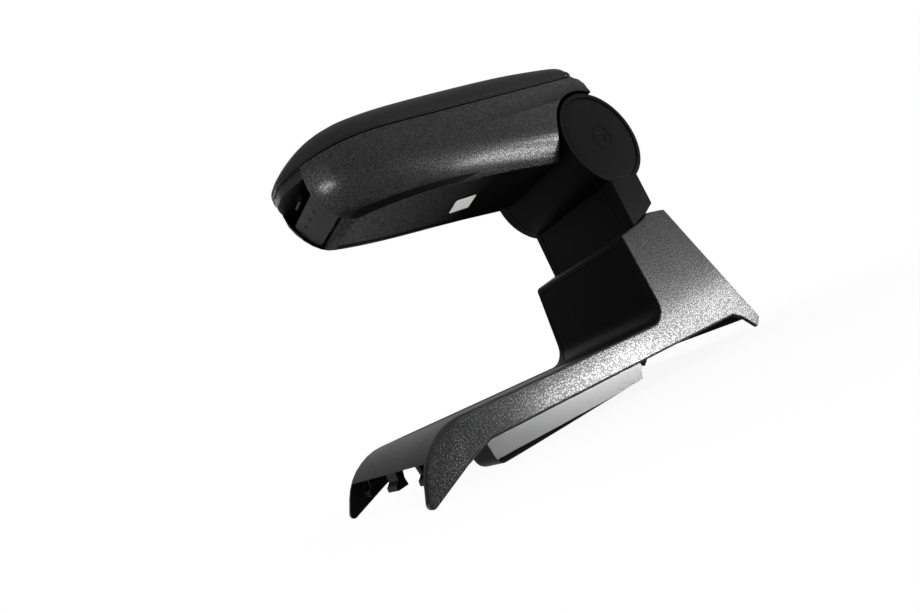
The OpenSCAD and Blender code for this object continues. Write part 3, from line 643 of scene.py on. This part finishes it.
class ARMREST_OT_lid(bpy.types.Operator):
    """Rigid lid frame and the soft pad on it"""
    bl_idname = "armrest.lid"
    bl_label = "Lid"

    def execute(self, context):
        moulding("lid_frame", "lid_plate", "lid", [frame_plastic()], WALL_ROUND)
        shape = merged_copy("lid_pad")
        bmesh.ops.join_triangles(shape, faces=shape.faces, angle_face_threshold=0.7,
                                 angle_shape_threshold=0.7)
        for face in shape.faces:
            face.smooth = True
        # the rim of the pad's underside stays tight under the subdivision
        crease = shape.edges.layers.float.new("crease_edge")
        shape.normal_update()
        for edge in shape.edges:
            below = any(face.normal.z < -0.6 for face in edge.link_faces)
            if len(edge.link_faces) == 2 and below and edge.calc_face_angle(0) > 0.5:
                edge[crease] = 0.7
        cushion = new_piece(shape, "lid_cushion", "lid", "lid_pad", [pad_skin()])
        layers = cushion.modifiers.new("soft form", "SUBSURF")
        layers.levels = layers.render_levels = 2
        return {"FINISHED"}


class ARMREST_OT_lever(bpy.types.Operator):
    """Release lever in the nose, with its catch"""
    bl_idname = "armrest.lever"
    bl_label = "Release lever"

    def execute(self, context):
        moulding("release_lever", "lever_moulding", "lever", [frame_plastic()], FINE_ROUND)
        moulding("lid_catch", "catch_hook", "lid", [frame_plastic()], TINY_ROUND)
        return {"FINISHED"}


def paint_node(name, material):
    """A finish for a CAD node that shows as it is"""
    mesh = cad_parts[name].data
    mesh.materials.clear()
    mesh.materials.append(material)


class ARMREST_OT_fittings(bpy.types.Operator):
    """Finishes of the bracket, axle, pins, washers and bushes"""
    bl_idname = "armrest.fittings"
    bl_label = "Metal fittings"

    def execute(self, context):
        moulding("support_bracket", "bracket_plate", "base", [black_steel()], THIN_ROUND)
        for name in ("hinge_axle", "axle_nut_left", "axle_nut_right", "lid_pin", "lever_pin"):
            paint_node(name, steel())
        # painted shade: the spring is black coated so that it stays as dark as the shade in the lever's recess
        paint_node("lever_spring", black_steel())
        for side in ("left", "right"):
            paint_node(f"hinge_bush_{side}", brass())
            paint_node(f"friction_washer_{side}", liner_plastic())
        return {"FINISHED"}


class ARMREST_OT_label(bpy.types.Operator):
    """Blank label on the underside of the box"""
    bl_idname = "armrest.label"
    bl_label = "Blank label"

    def execute(self, context):
        thickness, corner, gap, angle = 0.0003, 0.0018, 0.0001, math.radians(-12.5)
        start = Vector((0.1345, -0.0065, 0))
        s = label()
        shape = bmesh.new()
        bmesh.ops.create_cube(shape, size=1.0)
        bmesh.ops.scale(shape, vec=(s.width, s.length, thickness), verts=shape.verts)
        upright = [e for e in shape.edges if abs((e.verts[0].co - e.verts[1].co).z) > thickness / 2]
        bmesh.ops.bevel(shape, geom=upright, offset=corner, offset_type="OFFSET", affect="EDGES",
                        segments=4, profile=0.5, material=-1)
        bmesh.ops.rotate(shape, cent=(0, 0, 0), matrix=Matrix.Rotation(angle, 3, "Z"), verts=shape.verts)
        box = merged_copy("box_shell")
        hit, normal = BVHTree.FromBMesh(box).ray_cast(start, Vector((0, 0, 1)))[:2]
        box.free()
        turn = Vector((0, 0, -1)).rotation_difference(normal if normal.z < 0 else -normal)
        seat = Matrix.Translation(hit + normal * gap) @ turn.to_matrix().to_4x4()
        bmesh.ops.transform(shape, matrix=seat, verts=shape.verts)
        new_piece(shape, "blank_label", "armrest", None, [label_paper()])
        return {"FINISHED"}


# Studio

def straight_rays(tree):
    """1 for rays that see a surface or a mirror image of it, 0 for rays that light others"""
    rays = tree.nodes.new("ShaderNodeLightPath")
    mirrored = math_node(tree, "MAXIMUM", rays.outputs["Is Glossy Ray"], rays.outputs["Is Transmission Ray"])
    return math_node(tree, "MAXIMUM", rays.outputs["Is Camera Ray"], mirrored)


def floor_finish(colour):
    """Pale floor that keeps the object's shadow and meets the white surroundings without an edge"""
    made = bpy.data.materials.new("pale floor")
    made.use_nodes = True
    tree = made.node_tree
    link = tree.links.new
    shader = tree.nodes["Principled BSDF"]
    shader.inputs["Base Color"].default_value = (*colour, 1)
    shader.inputs["Roughness"].default_value = 0.8
    shader.inputs["Specular IOR Level"].default_value = 0.1
    white = node(tree, "ShaderNodeEmission", Color=(1, 1, 1, 1), Strength=1.0)
    both = tree.nodes.new("ShaderNodeMixShader")
    away = tree.nodes.new("ShaderNodeVectorMath")
    away.operation = "LENGTH"
    link(tree.nodes.new("ShaderNodeTexCoord").outputs["Object"], away.inputs[0])
    # the share of white grows from near the object to where the floor meets the surroundings
    share = map_range(tree, away.outputs["Value"], 0.12, 0.4, 0.92, 1.0)
    link(math_node(tree, "MULTIPLY", straight_rays(tree), share), both.inputs[0])
    link(shader.outputs[0], both.inputs[1])
    link(white.outputs[0], both.inputs[2])
    link(both.outputs[0], tree.nodes["Material Output"].inputs["Surface"])
    return made


def add_camera(scene):
    """The photo's own view, from a camera fitted to both side profiles of the armrest"""
    data = bpy.data.cameras.new("photo view")
    data.sensor_width = 36
    data.lens = 21.934
    data.clip_start = 0.01
    data.clip_end = 50
    camera = bpy.data.objects.new("photo view", data)
    right = Vector((-0.7907, 0.4614, -0.4023)).normalized()
    up = Vector((-0.2593, 0.3428, 0.9029)).normalized()
    back = right.cross(up).normalized()
    turn = Matrix((right, back.cross(right), back)).transposed().to_4x4()
    camera.matrix_world = Matrix.Translation((0.44386, 0.37880, 0.0300)) @ turn
    scene.collection.objects.link(camera)
    scene.camera = camera


def add_floor(colour):
    """A wide round floor just under the armrest"""
    shape = bmesh.new()
    bmesh.ops.create_circle(shape, cap_ends=True, segments=96, radius=6.0)
    bmesh.ops.translate(shape, vec=(0.1, 0, CAD_BOX[0].z - 0.0005), verts=shape.verts)
    new_object(shape, "floor", [floor_finish(colour)])


def add_lamp(scene, name, place, aim, width, height, beam, power):
    """A rectangular area lamp that looks at its aim, with the width of its beam in degrees"""
    lamp = bpy.data.lights.new(name, "AREA")
    lamp.shape = "RECTANGLE"
    lamp.size = width
    lamp.size_y = height
    lamp.spread = math.radians(beam)
    lamp.energy = power
    light = bpy.data.objects.new(name, lamp)
    light.visible_camera = False
    light.location = place
    light.rotation_mode = "QUATERNION"
    light.rotation_quaternion = (Vector(aim) - Vector(place)).to_track_quat("-Z", "Y")
    scene.collection.objects.link(light)


def add_surroundings(scene):
    """White to the camera and in mirror images, and weaker as light on the object"""
    world = bpy.data.worlds.new("white surroundings")
    world.use_nodes = True
    tree = world.node_tree
    plain = tree.nodes["Background"]
    plain.inputs["Color"].default_value = (1, 1, 1, 1)
    tree.links.new(map_range(tree, straight_rays(tree), 0, 1, 0.35, 1.0), plain.inputs["Strength"])
    scene.world = world


class ARMREST_OT_studio(bpy.types.Operator):
    """Camera, floor, lamps and white surroundings"""
    bl_idname = "armrest.studio"
    bl_label = "Studio"

    def execute(self, context):
        scene = context.scene
        s = studio()
        add_camera(scene)
        add_floor(s.floor_colour)
        middle, flank, band, nose = (0.11, 0, 0.11), (0.12, 0.055, 0.2), (0.19, 0.07, 0), (0.276, 0.04, 0.205)
        for name, place, aim, width, height, beam, power in (
                ("key light", (-0.74, 0.64, 0.045), middle, 0.3, 0.125, 180, s.key_power),
                ("low light", (-0.15, 0.28, 0.045), flank, 0.14, 0.11, 50, s.key_power * 0.02),
                ("side light", (-0.26, 0.51, 0.03), band, 0.22, 0.05, 36, s.key_power * 0.028),
                ("nose light", (0.479, 0.167, 0.134), nose, 0.08, 0.07, 40, s.key_power * 0.005),
                ("top light", (0.15, 0.25, 1.2), middle, 1.1, 1.1, 180, s.top_power),
                ("front light", (1.3, 0.5, 0.35), middle, 0.9, 0.6, 180, s.fill_power),
                ("right light", (0.2, -1.1, 1.0), middle, 0.9, 0.6, 180, s.fill_power * 2.5),
                ("rear light", (-1.1, -0.5, 0.8), middle, 0.9, 0.6, 180, s.fill_power * 2.5)):
            add_lamp(scene, name, place, aim, width, height, beam, power)
        add_surroundings(scene)
        scene.view_settings.view_transform = "Standard"
        return {"FINISHED"}


class ARMREST_PT_pieces(bpy.types.Panel):
    """Sizes, colours and the operators that make the armrest's pieces"""
    bl_label = "Centre armrest"
    bl_idname = "ARMREST_PT_pieces"
    bl_space_type = "VIEW_3D"
    bl_region_type = "UI"
    bl_category = "Armrest"

    def draw(self, context):
        layout = self.layout
        for settings in (plastic(), pad(), label(), studio()):
            column = layout.column(align=True)
            for name in settings.__annotations__:
                column.prop(settings, name)
        for operator in OPERATORS:
            layout.operator(operator.bl_idname)


OPERATORS = (ARMREST_OT_studio, ARMREST_OT_base_cover, ARMREST_OT_rails, ARMREST_OT_neck, ARMREST_OT_box,
             ARMREST_OT_lid, ARMREST_OT_lever, ARMREST_OT_fittings, ARMREST_OT_label)
CLASSES = (ArmrestPlastic, ArmrestPad, ArmrestLabel, ArmrestStudio, *OPERATORS, ARMREST_PT_pieces)


def register():
    for item in CLASSES:
        bpy.utils.register_class(item)
    bpy.types.Scene.armrest_plastic = PointerProperty(type=ArmrestPlastic)
    bpy.types.Scene.armrest_pad = PointerProperty(type=ArmrestPad)
    bpy.types.Scene.armrest_label = PointerProperty(type=ArmrestLabel)
    bpy.types.Scene.armrest_studio = PointerProperty(type=ArmrestStudio)


def unregister():
    del bpy.types.Scene.armrest_plastic
    del bpy.types.Scene.armrest_pad
    del bpy.types.Scene.armrest_label
    del bpy.types.Scene.armrest_studio
    for item in reversed(CLASSES):
        bpy.utils.unregister_class(item)


def main():
    register()
    for operator in OPERATORS:
        group, name = operator.bl_idname.split(".")
        getattr(getattr(bpy.ops, group), name)()


if __name__ == "__main__":
    main()
